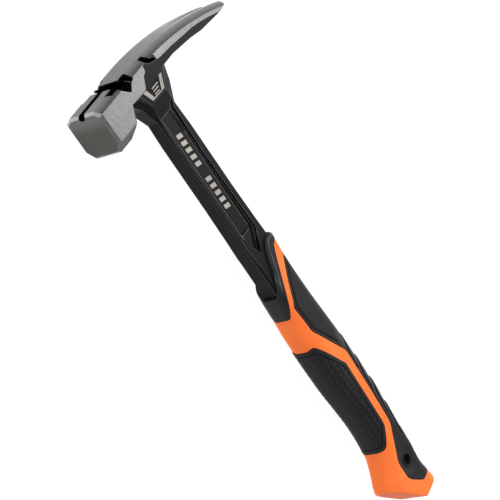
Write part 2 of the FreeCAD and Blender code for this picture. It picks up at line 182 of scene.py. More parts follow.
# ---------------------------------------------------------------- node helpers
def calc(tree, operation, *values):
    """A Math node on sockets and numbers; returns its result."""
    node = tree.nodes.new("ShaderNodeMath")
    node.operation = operation
    for socket, value in zip(node.inputs, values):
        if isinstance(value, (int, float)):
            socket.default_value = value
        else:
            tree.links.new(value, socket)
    return node.outputs[0]


def blend(tree, factor, first, second):
    """A colour that goes from the first to the second as the factor goes from 0 to 1."""
    node = tree.nodes.new("ShaderNodeMix")
    node.data_type = "RGBA"
    tree.links.new(factor, node.inputs["Factor"])
    for socket, value in ((node.inputs["A"], first), (node.inputs["B"], second)):
        if isinstance(value, tuple):
            socket.default_value = (*value, 1)
        else:
            tree.links.new(value, socket)
    return node.outputs["Result"]


def scaled(tree, colour, factor):
    """The colour times a number."""
    node = tree.nodes.new("ShaderNodeVectorMath")
    node.operation = "SCALE"
    tree.links.new(colour, node.inputs[0])
    tree.links.new(factor, node.inputs["Scale"])
    return node.outputs[0]


def spread(tree, value, low, high, to_low, to_high):
    """The value, taken smoothly from one range to another."""
    node = tree.nodes.new("ShaderNodeMapRange")
    node.interpolation_type = "SMOOTHSTEP"
    tree.links.new(value, node.inputs["Value"])
    ends = {"From Min": low, "From Max": high, "To Min": to_low, "To Max": to_high}
    for name, number in ends.items():
        node.inputs[name].default_value = number
    return node.outputs["Result"]


def fade(tree, value, low, high):
    """0 where the value is below low, 1 above high, smooth between."""
    return spread(tree, value, low, high, 0.0, 1.0)


def hypotenuse(tree, first, second):
    """The square root of the sum of two squares."""
    squares = [calc(tree, "MULTIPLY", side, side) for side in (first, second)]
    return calc(tree, "SQRT", calc(tree, "ADD", *squares))


def hammer_place(tree):
    """Hammer coordinates in millimetres, as one vector."""
    coordinates = tree.nodes.new("ShaderNodeTexCoord")
    shift = tree.nodes.new("ShaderNodeVectorMath")
    shift.operation = "SUBTRACT"
    shift.inputs[1].default_value = ORIGIN
    scale = tree.nodes.new("ShaderNodeVectorMath")
    scale.operation = "SCALE"
    scale.inputs["Scale"].default_value = 1 / MM
    tree.links.new(coordinates.outputs["Object"], shift.inputs[0])
    tree.links.new(shift.outputs[0], scale.inputs[0])
    return scale.outputs[0]


def grain(tree, spot, per_mm, detail=2.0, stretch=(1.0, 1.0, 1.0)):
    """Noise with about so many grains to a millimetre; stretch scales each axis."""
    mapping = tree.nodes.new("ShaderNodeMapping")
    mapping.inputs["Scale"].default_value = stretch
    noise = tree.nodes.new("ShaderNodeTexNoise")
    noise.inputs["Scale"].default_value = per_mm
    noise.inputs["Detail"].default_value = detail
    tree.links.new(spot, mapping.inputs["Vector"])
    tree.links.new(mapping.outputs[0], noise.inputs["Vector"])
    return noise.outputs["Fac"]


def bump(tree, shader, height, depth_mm, normal=None):
    """Roughen the shader's surface by the height, which runs from 0 to 1."""
    node = tree.nodes.new("ShaderNodeBump")
    node.inputs["Distance"].default_value = depth_mm * MM
    tree.links.new(height, node.inputs["Height"])
    if normal is not None:
        tree.links.new(normal, node.inputs["Normal"])
    tree.links.new(node.outputs[0], shader.inputs["Normal"])


def edge_round_normal(tree, radius_mm):
    """A normal rounded near edges, and how far it leans from the flat one."""
    rounded = tree.nodes.new("ShaderNodeBevel")
    rounded.samples = 8
    rounded.inputs["Radius"].default_value = radius_mm * MM
    geometry = tree.nodes.new("ShaderNodeNewGeometry")
    dot = tree.nodes.new("ShaderNodeVectorMath")
    dot.operation = "DOT_PRODUCT"
    tree.links.new(rounded.outputs[0], dot.inputs[0])
    tree.links.new(geometry.outputs["Normal"], dot.inputs[1])
    return rounded.outputs[0], calc(tree, "SUBTRACT", 1.0, dot.outputs["Value"])


# ---------------------------------------------------------------- the steel
CLAW_ARC = 286.685             # radius of the top of the claws, about (CLAW_ARC, ARC_START)
ARC_START = -11.0
TOP_BEVEL = (3.65, 5.4)        # down the cheek, and across the top
# Lower edge of the bare steel on the cheek: (y, x). Above it the cheek is ground bright.
BARE_EDGE = [
    (-36.6, 22.3), (-32.1, 15.4), (-18.8, 16.2), (-14.7, 15.7), (-10.2, 9.2), (-6.5, 7.7),
    (-6.1, 4.2), (-3.4, 3.7), (7.6, 3.7), (8.4, 9.0), (25.7, 10.4), (41.1, 12.4),
    (50.5, 13.5), (59.4, 15.4), (67.7, 17.5), (79.6, 21.2),
]
EDGE_FROM, EDGE_TO, EDGE_DEEP = -40.0, 85.0, 25.0      # the ranges of y and x that its curve covers
BARE_POLL = -36.6              # all the poll in front of this y is bare
BARE_FACE = -57.7              # in front of this y lie the strike face and its bevel
BARE_TIPS = 79.6               # behind this y the claws' tips are bare
VEE_SLOPE, VEE_START = 0.1095, -4.83   # half the gap between the claws, as a line in y
GROOVE_FLOOR = 4.6             # depth of the nail groove, whose walls stay black
GROOVE_MIDDLE, GROOVE_BEND = 1.17, 2.75    # centre and radius of the groove's rounded floor
HOLLOW_BACK, HOLLOW_FOOT = 10.0, 9.5   # the slot, pockets and groove lie in front of this y, above this x
HOLLOW_SHADE_DEPTH = (0.2, 1.8)      # depth inside the head at which painted shade darkens its hollows
SKIN = 0.12                    # a point this near the outside counts as on it
PANEL_FRONT, PANEL_BACK = -8.6, 1.9    # the shaft's panel lies between these y
PANEL_END = (134.0, 138.0)     # past this x, at the panel's end wall, the coat gets less wear and painted highlight
PANEL_LOSS = 0.85              # how much of the wear and painted highlight is left out there


def edge_curve(tree, y):
    """The lower edge of the bare steel, as a curve of y."""
    node = tree.nodes.new("ShaderNodeFloatCurve")
    curve = node.mapping.curves[0]
    spots = [((y_at - EDGE_FROM) / (EDGE_TO - EDGE_FROM), x_at / EDGE_DEEP) for y_at, x_at in BARE_EDGE]
    curve.points[0].location = (0.0, spots[0][1])
    curve.points[1].location = (1.0, spots[-1][1])
    for spot in spots:
        curve.points.new(*spot)
    for point in curve.points:
        point.handle_type = "VECTOR"
    node.mapping.update()
    share = calc(tree, "DIVIDE", calc(tree, "SUBTRACT", y, EDGE_FROM), EDGE_TO - EDGE_FROM)
    tree.links.new(share, node.inputs["Value"])
    return calc(tree, "MULTIPLY", node.outputs[0], EDGE_DEEP)


def head_depth(tree, x, y, across):
    """How far a point lies inside the head's plain form: its top, its sides and its top bevels."""
    behind = calc(tree, "MAXIMUM", calc(tree, "SUBTRACT", y, ARC_START), 0.0)
    above = calc(tree, "SUBTRACT", x, CLAW_ARC)
    under_top = calc(tree, "SUBTRACT", CLAW_ARC, hypotenuse(tree, above, behind))
    from_side = calc(tree, "SUBTRACT", HEAD_HALF, across)
    down, side = TOP_BEVEL
    shares = calc(tree, "ADD", calc(tree, "DIVIDE", under_top, down), calc(tree, "DIVIDE", from_side, side))
    under_bevel = calc(
        tree, "DIVIDE", calc(tree, "SUBTRACT", shares, 1.0), math.hypot(1 / down, 1 / side))
    return calc(tree, "MINIMUM", calc(tree, "MINIMUM", under_top, from_side), under_bevel)


def bare_mask(tree, x, y, across):
    """Two masks: 1 on bare steel and 0 on the black coat; and 1 deep in the slot, pockets and groove, where
    shade is painted.
    """
    depth = head_depth(tree, x, y, across)
    outside = calc(tree, "LESS_THAN", depth, SKIN)
    ground = calc(tree, "MULTIPLY", outside, calc(tree, "LESS_THAN", x, edge_curve(tree, y)))

    poll_skin = calc(tree, "MAXIMUM", outside, calc(tree, "GREATER_THAN", x, GROOVE_FLOOR))
    poll = calc(tree, "MULTIPLY", poll_skin, calc(tree, "LESS_THAN", y, BARE_POLL))

    below = calc(tree, "MAXIMUM", calc(tree, "SUBTRACT", x, GROOVE_MIDDLE), 0.0)
    off_groove = calc(tree, "GREATER_THAN", hypotenuse(tree, below, across), GROOVE_BEND)
    face = calc(tree, "MULTIPLY", calc(tree, "LESS_THAN", y, BARE_FACE), off_groove)

    off_vee = calc(tree, "GREATER_THAN", across, calc(tree, "MULTIPLY_ADD", y, VEE_SLOPE, VEE_START))
    tips = calc(tree, "MULTIPLY", calc(tree, "GREATER_THAN", y, BARE_TIPS), off_vee)

    bare = calc(tree, "MAXIMUM", calc(tree, "MAXIMUM", ground, poll), calc(tree, "MAXIMUM", face, tips))
    in_head = calc(
        tree, "MULTIPLY", calc(tree, "LESS_THAN", y, HOLLOW_BACK), calc(tree, "LESS_THAN", x, HOLLOW_FOOT))
    return bare, calc(tree, "MULTIPLY", in_head, fade(tree, depth, *HOLLOW_SHADE_DEPTH))


# The colours of the ground steel, with painted light and shade: they differ from face to face, and along
# the faces, as the light on them does; the light top of the face bevel is a painted highlight.
POLL_STEEL = (0.27, 0.268, 0.262)
TIP_STEEL = (0.19, 0.188, 0.184)
TOP_STEEL = (0.15, 0.149, 0.146)
TOP_TIP_STEEL = (0.38, 0.379, 0.374)
BEVEL_STEEL = (0.25, 0.248, 0.243)
BEVEL_EDGE_STEEL = (0.125, 0.124, 0.121)
RIM_TOP_STEEL = (0.44, 0.436, 0.425)
RIM_STEEL = (0.20, 0.198, 0.192)
FACE_TOP_STEEL = (0.15, 0.146, 0.14)
FACE_STEEL = (0.088, 0.083, 0.078)
COAT = (0.006, 0.006, 0.0065)
# The light grey of the coat's edges stands for wear and for a painted highlight along them.
COAT_WEAR_AND_HIGHLIGHT = (0.30, 0.30, 0.305)
# Where each of those colours fades in: how far a face looks up or forward, or a stretch of x, y or z.
LOOKS_UP_BEVEL = (0.25, 0.45)
LOOKS_UP_TOP = (0.88, 0.93)
LOOKS_FORWARD_RIM = (0.5, 0.6)
LOOKS_FORWARD_FACE = (0.9, 0.96)
POLL_TO_TIP = (0.0, 80.0)
TOP_TO_TIP = (15.0, 95.0)
ACROSS_BEVEL = (11.0, 14.8)
DOWN_FACE = (3.0, 15.0)
BRUSHED_STRETCH = (0.35, 2.6, 2.6)     # the grain of the grinding runs along x
BRUSHED_DEEP = 0.17            # how much the grain lightens and darkens the steel
EDGE_RADIUS = 0.45             # edges are rounded to this radius in millimetres, which also sets the band of wear and painted highlight
WEAR_HIGHLIGHT_LEAN = (0.01, 0.06)       # where the edge wear and its painted highlight fade in, by how far the rounded normal leans


def steel_with_painted_light(tree, x, y, across):
    """The colour of the ground steel before its grain, with light and shade painted in by how each face
    looks and where it lies.
    """
    geometry = tree.nodes.new("ShaderNodeNewGeometry")
    facing = tree.nodes.new("ShaderNodeSeparateXYZ")
    tree.links.new(geometry.outputs["True Normal"], facing.inputs[0])
    looks_up = calc(tree, "MULTIPLY", facing.outputs["X"], -1.0)
    looks_forward = calc(tree, "MULTIPLY", facing.outputs["Y"], -1.0)
    on_bevel = fade(tree, looks_up, *LOOKS_UP_BEVEL)

    cheek = blend(tree, fade(tree, y, *POLL_TO_TIP), POLL_STEEL, TIP_STEEL)
    bevel = blend(tree, fade(tree, across, *ACROSS_BEVEL), BEVEL_STEEL, BEVEL_EDGE_STEEL)
    top = blend(tree, fade(tree, y, *TOP_TO_TIP), TOP_STEEL, TOP_TIP_STEEL)
    rim = blend(tree, on_bevel, RIM_STEEL, RIM_TOP_STEEL)
    face = blend(tree, fade(tree, x, *DOWN_FACE), FACE_TOP_STEEL, FACE_STEEL)

    steel = blend(tree, on_bevel, cheek, bevel)
    steel = blend(tree, fade(tree, looks_up, *LOOKS_UP_TOP), steel, top)
    steel = blend(tree, fade(tree, looks_forward, *LOOKS_FORWARD_RIM), steel, rim)
    return blend(tree, fade(tree, looks_forward, *LOOKS_FORWARD_FACE), steel, face)


def panel_wear_and_highlight(tree, x, y):
    """How much of the edge wear and painted edge highlight stays: less at the end wall of the shaft's
    panel.
    """
    behind, before = calc(tree, "GREATER_THAN", y, PANEL_FRONT), calc(tree, "LESS_THAN", y, PANEL_BACK)
    in_panel = calc(tree, "MULTIPLY", behind, before)
    lost = calc(tree, "MULTIPLY", in_panel, spread(tree, x, *PANEL_END, 0.0, PANEL_LOSS))
    return calc(tree, "SUBTRACT", 1.0, lost)


def forged_steel():
    """Black coat over the forging, worn at its edges and lightened there as a painted highlight, with
    painted shade deep in its hollows, and the steel ground bare on the head with painted light and shade.
    """
    material, tree, shader = new_material("forged_steel_look")
    spot = hammer_place(tree)
    split = tree.nodes.new("ShaderNodeSeparateXYZ")
    tree.links.new(spot, split.inputs[0])
    x, y, z = split.outputs
    across = calc(tree, "ABSOLUTE", z)
    waver = calc(tree, "MULTIPLY_ADD", grain(tree, spot, 0.6, 3.0), 0.5, -0.25)
    bare, hollow_shade = bare_mask(tree, calc(tree, "ADD", x, waver), y, across)

    brushed = grain(tree, spot, 1.0, 4.0, BRUSHED_STRETCH)
    cloudy = grain(tree, spot, 0.12, 2.0)
    scratched = spread(tree, brushed, 0.3, 0.7, -BRUSHED_DEEP, BRUSHED_DEEP)
    tint = calc(tree, "ADD", calc(tree, "MULTIPLY_ADD", cloudy, 0.16, 0.92), scratched)
    steel = scaled(tree, steel_with_painted_light(tree, x, y, across), tint)

    rounded, lean = edge_round_normal(tree, EDGE_RADIUS)
    speckle = grain(tree, spot, 2.2, 2.0)
    # The coat's edges are lightened: partly wear, partly a painted highlight along them.
    wear_and_highlight = calc(
        tree, "MULTIPLY", fade(tree, lean, *WEAR_HIGHLIGHT_LEAN), calc(tree, "MULTIPLY_ADD", speckle, 0.4, 0.5))
    wear_and_highlight = calc(tree, "MULTIPLY", wear_and_highlight, panel_wear_and_highlight(tree, x, y))
    coat_out_of_shade = calc(tree, "SUBTRACT", 1.0, hollow_shade)
    coat = blend(tree, calc(tree, "MULTIPLY", wear_and_highlight, coat_out_of_shade), COAT, COAT_WEAR_AND_HIGHLIGHT)
    # Painted shade: the coat is darkened deep in the slot, pockets and groove.
    coat = scaled(tree, coat, calc(tree, "MULTIPLY_ADD", coat_out_of_shade, 0.8, 0.2))
    tree.links.new(blend(tree, bare, coat, steel), shader.inputs["Base Color"])
    tree.links.new(bare, shader.inputs["Metallic"])

    satin = calc(tree, "MULTIPLY_ADD", speckle, 0.16, 0.36)
    polish = calc(tree, "MULTIPLY_ADD", brushed, 0.22, 0.27)
    turn = calc(tree, "MULTIPLY", bare, calc(tree, "SUBTRACT", polish, satin))
    tree.links.new(calc(tree, "ADD", satin, turn), shader.inputs["Roughness"])
    tree.links.new(calc(tree, "MULTIPLY_ADD", coat_out_of_shade, 0.1, 0.01), shader.inputs["Specular IOR Level"])
    relief = calc(tree, "ADD", calc(tree, "MULTIPLY", speckle, calc(tree, "SUBTRACT", 1.0, bare)),
                  calc(tree, "MULTIPLY", brushed, bare))
    bump(tree, shader, relief, 0.045, rounded)
    return material


PAINTED_SHADING = "shading"              # a mesh attribute for painted light and shade: 1 deep in a moulded groove and along a pad's border, for painted shade, and -1 on the lobes, for a painted highlight
# GROOVE_SHADE is painted shade in the grooves of the rubber and along the pads' borders.
GROOVE_SHADE = (0.0025, 0.0025, 0.003)
# LOBE_HIGHLIGHT is a painted highlight on the back's lobes.
LOBE_HIGHLIGHT = (0.042, 0.042, 0.044)
RIDGE_MARK = "ridge_glint"                  # a mesh attribute: 1 along the collar's ridge, where a highlight is painted
# RIDGE_GLINT_GREY is the painted highlight on the collar's ridge.
RIDGE_GLINT_GREY = (0.15, 0.15, 0.155)
SOLE = "sole"                  # a mesh attribute: 1 on the flat end of the butt, where shade is painted
# SOLE_SHADE_ORANGE is painted shade on the butt's flat end.
SOLE_SHADE_ORANGE = (0.78, 0.118, 0.02)


def moulded(name, colour, pale, per_mm, depth_mm, rough, gloss, sheen=0.0, marked=()):
    """Moulded plastic or rubber: a fine grain over a slow change of tone.

    Each mark is a mesh attribute, the sign it is read with, and the colour it fades in.
    """
    material, tree, shader = new_material(name)
    spot = hammer_place(tree)
    fine = grain(tree, spot, per_mm, 3.0)
    slow = grain(tree, spot, 0.05, 2.0)
    tone = calc(tree, "ADD", calc(tree, "MULTIPLY", fine, 0.5), calc(tree, "MULTIPLY", slow, 0.5))
    paint = blend(tree, fade(tree, tone, 0.3, 0.7), colour, pale)
    for attribute, sign, mark in marked:
        where = tree.nodes.new("ShaderNodeAttribute")
        where.attribute_name = attribute
        paint = blend(tree, calc(tree, "MULTIPLY", where.outputs["Fac"], sign), paint, mark)
    tree.links.new(paint, shader.inputs["Base Color"])
    tree.links.new(calc(tree, "MULTIPLY_ADD", fine, 0.16, rough - 0.08), shader.inputs["Roughness"])
    shader.inputs["Specular IOR Level"].default_value = gloss
    shader.inputs["Sheen Weight"].default_value = sheen
    shader.inputs["Sheen Roughness"].default_value = 0.6
    bump(tree, shader, fine, depth_mm)
    return material


def plated():
    """Nickel plate on the magnet, with a fine grain."""
    material, tree, shader = new_material("magnet_plate")
    spot = hammer_place(tree)
    fine = grain(tree, spot, 3.0, 2.0)
    tree.links.new(blend(tree, fine, (0.5, 0.5, 0.52), (0.72, 0.72, 0.74)), shader.inputs["Base Color"])
    shader.inputs["Metallic"].default_value = 1.0
    tree.links.new(calc(tree, "MULTIPLY_ADD", fine, 0.2, 0.2), shader.inputs["Roughness"])
    bump(tree, shader, fine, 0.01)
    return material


def dress(thing, material):
    """Give every slot of an object the one material."""
    if not thing.material_slots:
        thing.data.materials.append(None)
    for slot in thing.material_slots:
        slot.link = "OBJECT"
        slot.material = material


RUBBER = moulded(
    "black_rubber", (0.0135, 0.0135, 0.0145), (0.019, 0.019, 0.0205), 2.5, 0.05, 0.6, 0.12,
    sheen=0.02, marked=[(PAINTED_SHADING, 1.0, GROOVE_SHADE), (PAINTED_SHADING, -1.0, LOBE_HIGHLIGHT)],
)
ORANGE = moulded(
    "orange_plastic", (0.94, 0.170, 0.034), (1.0, 0.205, 0.045), 3.0, 0.03, 0.5, 0.1,
    marked=[(SOLE, 1.0, SOLE_SHADE_ORANGE)],
)
PLASTIC = moulded(
    "black_plastic", (0.010, 0.010, 0.011), (0.015, 0.015, 0.0165), 3.0, 0.04, 0.42, 0.2,
    marked=[(RIDGE_MARK, 1.0, RIDGE_GLINT_GREY)],
)
HIDDEN_PLASTIC = moulded("core_plastic", (0.02, 0.02, 0.021), (0.03, 0.03, 0.032), 1.5, 0.03, 0.6, 0.25)
dress(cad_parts["hammer_forging"], forged_steel())
dress(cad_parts["nail_magnet"], plated())
dress(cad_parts["grip_core"], HIDDEN_PLASTIC)
dress(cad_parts["tether_bush"], PLASTIC)


# ---------------------------------------------------------------- the grip's outer form
# Rounded sections of the grip: x, front, back, half width, corner radius.
GRIP_SECTIONS = np.array([
    (147.0, -13.5, 14.9, 8.5, 3.0),
    (160.0, -13.9, 14.1, 9.0, 3.6),
    (172.0, -14.4, 12.7, 9.6, 4.6),
    (186.0, -15.3, 12.3, 10.7, 6.4),
    (200.0, -16.4, 12.5, 11.8, 8.4),
    (219.0, -18.4, 13.6, 12.7, 10.4),
    (240.0, -19.0, 14.5, 12.8, 10.5),
    (262.0, -18.8, 15.1, 12.8, 10.5),
    (287.0, -17.0, 15.0, 12.8, 10.5),
    (300.0, -16.3, 14.0, 12.8, 10.5),
    (312.0, -16.8, 13.3, 12.8, 10.5),
    (326.0, -19.4, 12.8, 12.6, 10.5),
    (334.0, -23.0, 12.4, 12.4, 10.5),
    (340.0, -26.6, 12.0, 12.2, 10.3),
    (346.0, -30.6, 11.0, 12.0, 10.2),
    (354.0, -33.2, 10.1, 12.0, 10.0),
    (364.0, -34.0, 11.2, 12.2, 9.8),
    (384.0, -34.2, 13.6, 12.4, 9.8),
])


def section_slopes():
    """Slope of each column at each section, so that a curve through them never overshoots."""
    steps = np.diff(GRIP_SECTIONS, axis=0)
    slopes = steps[:, 1:] / steps[:, :1]
    before, after = slopes[:-1], slopes[1:]
    total = np.where(before * after > 0, before + after, 1.0)
    inner = np.where(before * after > 0, 2 * before * after / total, 0.0)
    return np.vstack([slopes[:1], inner, slopes[-1:]])


SECTION_SLOPES = section_slopes()


def section(x):
    """Front, back, half width and corner radius of the grip at x."""
    places = GRIP_SECTIONS[:, 0]
    row = np.clip(np.searchsorted(places, x, side="right") - 1, 0, len(places) - 2)
    step = places[row + 1] - places[row]
    t = ((x - places[row]) / step)[..., None]
    start, end = GRIP_SECTIONS[row, 1:], GRIP_SECTIONS[row + 1, 1:]
    rise, fall = SECTION_SLOPES[row] * step[..., None], SECTION_SLOPES[row + 1] * step[..., None]
    values = ((2 * t**3 - 3 * t**2 + 1) * start + (t**3 - 2 * t**2 + t) * rise
              + (3 * t**2 - 2 * t**3) * end + (t**3 - t**2) * fall)
    return np.moveaxis(values, -1, 0)


def runs(x):
    """Lengths round half a section: half the front, a corner, the side between the corners."""
    front, back, half, bend = section(x)
    return half - bend, bend * math.pi / 2, back - front - 2 * bend


def half_girth(x):
    """Length round a section from the middle of the front to the middle of the back."""
    flat, quarter, side = runs(x)
    return 2 * flat + 2 * quarter + side


def reach_at(x, y):
    """Length round the section, from the middle of the front, at which a side view shows y."""
    front, back, _, bend = section(x)
    flat, quarter, side = runs(x)
    round_front = flat + bend * np.arccos(np.clip((front + bend - y) / bend, 0, 1))
    on_side = flat + quarter + y - front - bend
    round_back = flat + quarter + side + bend * np.arcsin(np.clip((y - back + bend) / bend, 0, 1))
    return np.where(y < front + bend, round_front, np.where(y < back - bend, on_side, round_back))


def skin(x, reach, lift):
    """The grip's surface at a signed reach round the section, lifted off it; (n, 3) in mm."""
    x, reach, lift = np.broadcast_arrays(x, reach, lift)
    front, back, _, bend = section(x)
    flat, quarter, side = runs(x)
    way = np.abs(reach)
    first = np.clip((way - flat) / bend, 0, math.pi / 2)
    second = np.clip((way - flat - quarter - side) / bend, 0, math.pi / 2)
    along = np.clip(way - flat - quarter, 0, side)
    out = bend + lift
    in_front = way < flat + quarter + side / 2
    y = np.where(in_front, front + bend - out * np.cos(first) + along,
                 back - bend + out * np.sin(second) - (side - along))
    in_back = way > flat + 2 * quarter + side
    past_side = np.where(in_back, half_girth(x) - way, flat + out * np.cos(second))
    z = np.where(way < flat, way, np.where(in_front, flat + out * np.sin(first), past_side))
    return np.stack([x, y, np.sign(reach) * z], axis=-1)


# ---------------------------------------------------------------- curves on the grip
def rounded_path(points, cut):
    """The points' path with its corners cut back and rounded."""
    spots = [np.array(point, float) for point in points]
    path = [spots[0]]
    for before, corner, after in zip(spots, spots[1:], spots[2:]):
        reach = [min(cut, 0.45 * np.linalg.norm(other - corner)) for other in (before, after)]
        start = corner + (before - corner) * reach[0] / np.linalg.norm(before - corner)
        end = corner + (after - corner) * reach[1] / np.linalg.norm(after - corner)
        for t in np.linspace(0, 1, 7):
            path.append((1 - t) ** 2 * start + 2 * t * (1 - t) * corner + t**2 * end)
    path.append(spots[-1])
    return np.array(path)


def evenly(path, count):
    """The path again, as so many points the same length apart."""
    lengths = np.concatenate([[0], np.cumsum(np.linalg.norm(np.diff(path, axis=0), axis=1))])
    ways = np.linspace(0, lengths[-1], count)
    return np.stack([np.interp(ways, lengths, path[:, axis]) for axis in range(path.shape[1])], axis=1)


PATH_POINTS = 400              # points along a path on the grip


def on_middle(spot, which):
    """The point at the same x on the middle line of the front or of the back."""
    x = spot[:1]
    return np.concatenate([x, half_girth(x) if which == "back" else np.zeros(1)])


def grip_path(points, cut=2.5, start=None, end=None):
    """A path in side view, (x, y), as (x, reach); start or end closes it at a middle line."""
    path = evenly(rounded_path(points, cut), PATH_POINTS)
    flat = np.stack([path[:, 0], reach_at(path[:, 0], path[:, 1])], axis=1)
    if start:
        flat = np.vstack([on_middle(flat[0], start), flat])
    if end:
        flat = np.vstack([flat, on_middle(flat[-1], end)])
    return flat


def share(flat):
    """(x, reach) as (x, share of the way from the front's middle to the back's)."""
    return np.stack([flat[:, 0], flat[:, 1] / half_girth(flat[:, 0])], axis=1)


def patch(top, side, bottom, middle, rows, columns):
    """A grid of (x, share) over the near half of an area that four paths, (x, reach), close.

    top and bottom run from the side path to the middle line; middle is 0 at the front, 1 at the back.
    """
    u = np.linspace(0, 1, rows)[:, None, None]
    v = np.linspace(0, 1, columns)[None, :, None]
    top, bottom = share(evenly(top, columns))[None], share(evenly(bottom, columns))[None]
    side = share(evenly(side, rows))[:, None]
    centre_x = np.linspace(top[0, -1, 0], bottom[0, -1, 0], rows)
    centre = np.stack([centre_x, np.full(rows, middle)], axis=1)[:, None]
    return ((1 - u) * top + u * bottom + (1 - v) * side + v * centre
            - (1 - u) * (1 - v) * top[:, :1] - (1 - u) * v * top[:, -1:]
            - u * (1 - v) * bottom[:, :1] - u * v * bottom[:, -1:])


def distance_to(path, x, reach):
    """Distance in the surface from each point to a path of (x, reach)."""
    start, step = path[:-1], np.diff(path, axis=0)
    length = np.maximum((step**2).sum(axis=1), 1e-9)
    points = np.stack([x.ravel(), reach.ravel()], axis=1)
    best = np.full(len(points), 1e9)
    for spot, way, square in zip(start, step, length):
        away = points - spot
        t = np.clip(away @ way / square, 0, 1)
        best = np.minimum(best, ((away - t[:, None] * way) ** 2).sum(axis=1))
    return np.sqrt(best).reshape(x.shape)


def rise(value, low, high):
    """0 below low, 1 above high, smooth between."""
    t = np.clip((value - low) / (high - low), 0, 1)
    return t * t * (3 - 2 * t)


def groove(distance, half):
    """1 in the middle of a groove, 0 past its half width."""
    return 1 - rise(np.abs(distance), 0.0, half)


def closed_shell(name, outside, inside, shading):
    """A closed piece from an outer and an inner grid of points in hammer millimetres."""
    rows, columns = outside.shape[:2]
    points = np.concatenate([outside.reshape(-1, 3), inside.reshape(-1, 3)])
    outer = np.arange(rows * columns).reshape(rows, columns)
    inner = outer + outer.size
    faces = []
    for grid, turned in ((outer, False), (inner, True)):
        quads = np.stack([grid[:-1, :-1], grid[:-1, 1:], grid[1:, 1:], grid[1:, :-1]], axis=-1)
        quads = quads.reshape(-1, 4)
        faces += (quads[:, ::-1] if turned else quads).tolist()
    below = outer.size
    for edge in (outer[0], outer[:, -1], outer[-1, ::-1], outer[::-1, 0]):
        for a, b in zip(edge.tolist(), edge[1:].tolist()):
            faces.append((b, a, a + below, b + below))
    shell = mesh_object(name, [place(*point) for point in points], faces)
    # The painted light and shade goes on the outer points as a mesh attribute.
    depth = shell.data.attributes.new(PAINTED_SHADING, "FLOAT", "POINT")
    depth.data.foreach_set("value", np.concatenate([shading.ravel(), np.zeros(shading.size)]))
    return shell


MIRROR = np.array([1, 1, -1])  # from the near side to the far side
EDGE_ROUND = 0.7               # radius of a pad's rounded border
PAD_DEEP = -1.9                # a pad's inner side lies this far under the grip's surface


def edge_drop(inset):
    """How far a pad's surface falls towards its border."""
    past = EDGE_ROUND - np.clip(inset, 0, EDGE_ROUND)
    return EDGE_ROUND - np.sqrt(EDGE_ROUND**2 - past**2)


def pad(name, top, side, bottom, middle, rows, columns, proud, relief):
    """A moulded pad between three paths on the near side and their mirror; also returns its border.

    middle is 0 for a pad on the front and 1 for one on the back. proud lifts it off the grip, and relief
    gives the height of what is moulded on it and the painted light and shade on it.
    """
    border = np.vstack([top[::-1], side[1:], bottom[1:]])
    near = patch(top, side, bottom, middle, rows, columns)
    x = near[..., 0]
    reach = near[..., 1] * half_girth(x)
    inset = distance_to(border, x, reach)
    height, shading = relief(x, reach, inset)
    lift = proud - edge_drop(inset) + height
    # Painted shade along the pad's border, where it meets the body.
    edge = 1 - rise(inset, 0.0, 0.5)
    shading = shading * (1 - edge) + edge
    layers = []
    for level in (lift, np.full_like(lift, PAD_DEEP)):
        half = skin(x, reach, level)
        far = half[:, -2::-1] * MIRROR
        half[:, -1, 2] = 0.0
        layers.append(np.concatenate([half, far], axis=1))
    shading = np.concatenate([shading, shading[:, -2::-1]], axis=1)
    return closed_shell(name, *layers, shading), border


# ---------------------------------------------------------------- front pad
CELL = 4.3                     # pitch of the moulded cells
CELL_GAP = 0.65                # half the width of the gap between two cells
CELL_EDGE = 1.9                # a cell's dome rises over this much from its border
GAP_DEEP, DOME_HIGH = 0.35, 0.15
RIM = 3.4                      # width of the plain rim round the cells
RIM_GROOVE = (0.65, 0.8)       # half width and depth of the groove inside the rim
FRONT_TOP = [(256.0, -2.3), (229.6, -15.8), (229.4, -17.2), (230.4, -18.6)]
FRONT_SIDE = [(256.0, -2.3), (306.0, -4.6), (309.4, -5.2)]
FRONT_BOTTOM = [(309.4, -5.2), (322.2, -13.8), (323.2, -16.0), (323.0, -18.3), (322.7, -20.0)]


def hexagon(x, reach):
    """Distance from the nearest border between the cells of a honeycomb."""
    size = np.array([CELL, CELL * math.sqrt(3)])
    spots = np.stack([x, reach], axis=-1)
    first = np.mod(spots, size) - size / 2
    second = np.mod(spots - size / 2, size) - size / 2
    nearer = (first**2).sum(axis=-1) < (second**2).sum(axis=-1)
    local = np.abs(np.where(nearer[..., None], first, second))
    return CELL / 2 - np.maximum(local[..., 0], local[..., 0] / 2 + local[..., 1] * math.sqrt(3) / 2)


def front_relief(x, reach, inset):
    """Height of the cells and the rim, and how deep in a groove each point is, which is painted as shade.
    """
    field = rise(inset, RIM + 0.3, RIM + 1.2)
    from_gap = hexagon(x, reach)
    # The relief is weaker on the front, which forms the outline.
    gaps = groove(from_gap, CELL_GAP) * field * (0.4 + 0.6 * rise(reach, 4.0, 13.0))
    dome = rise(from_gap, 0.0, CELL_EDGE) * field * rise(reach, 8.0, 16.0)
    half, deep = RIM_GROOVE
    rim = groove(inset - RIM, half)
    # The second value is painted shade in the gaps between cells and in the rim's groove.
    return DOME_HIGH * dome - GAP_DEEP * gaps - deep * rim, np.maximum(0.8 * gaps, rim)


FRONT_PATHS = (
    grip_path(FRONT_TOP, end="front"), grip_path(FRONT_SIDE), grip_path(FRONT_BOTTOM, end="front"),
)
front_pad, front_border = pad("front_pad_moulding", *FRONT_PATHS, 0.0, 290, 84, 0.45, front_relief)
front_pad.data.materials.append(RUBBER)
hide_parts("front_pad")
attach(front_pad, "root")

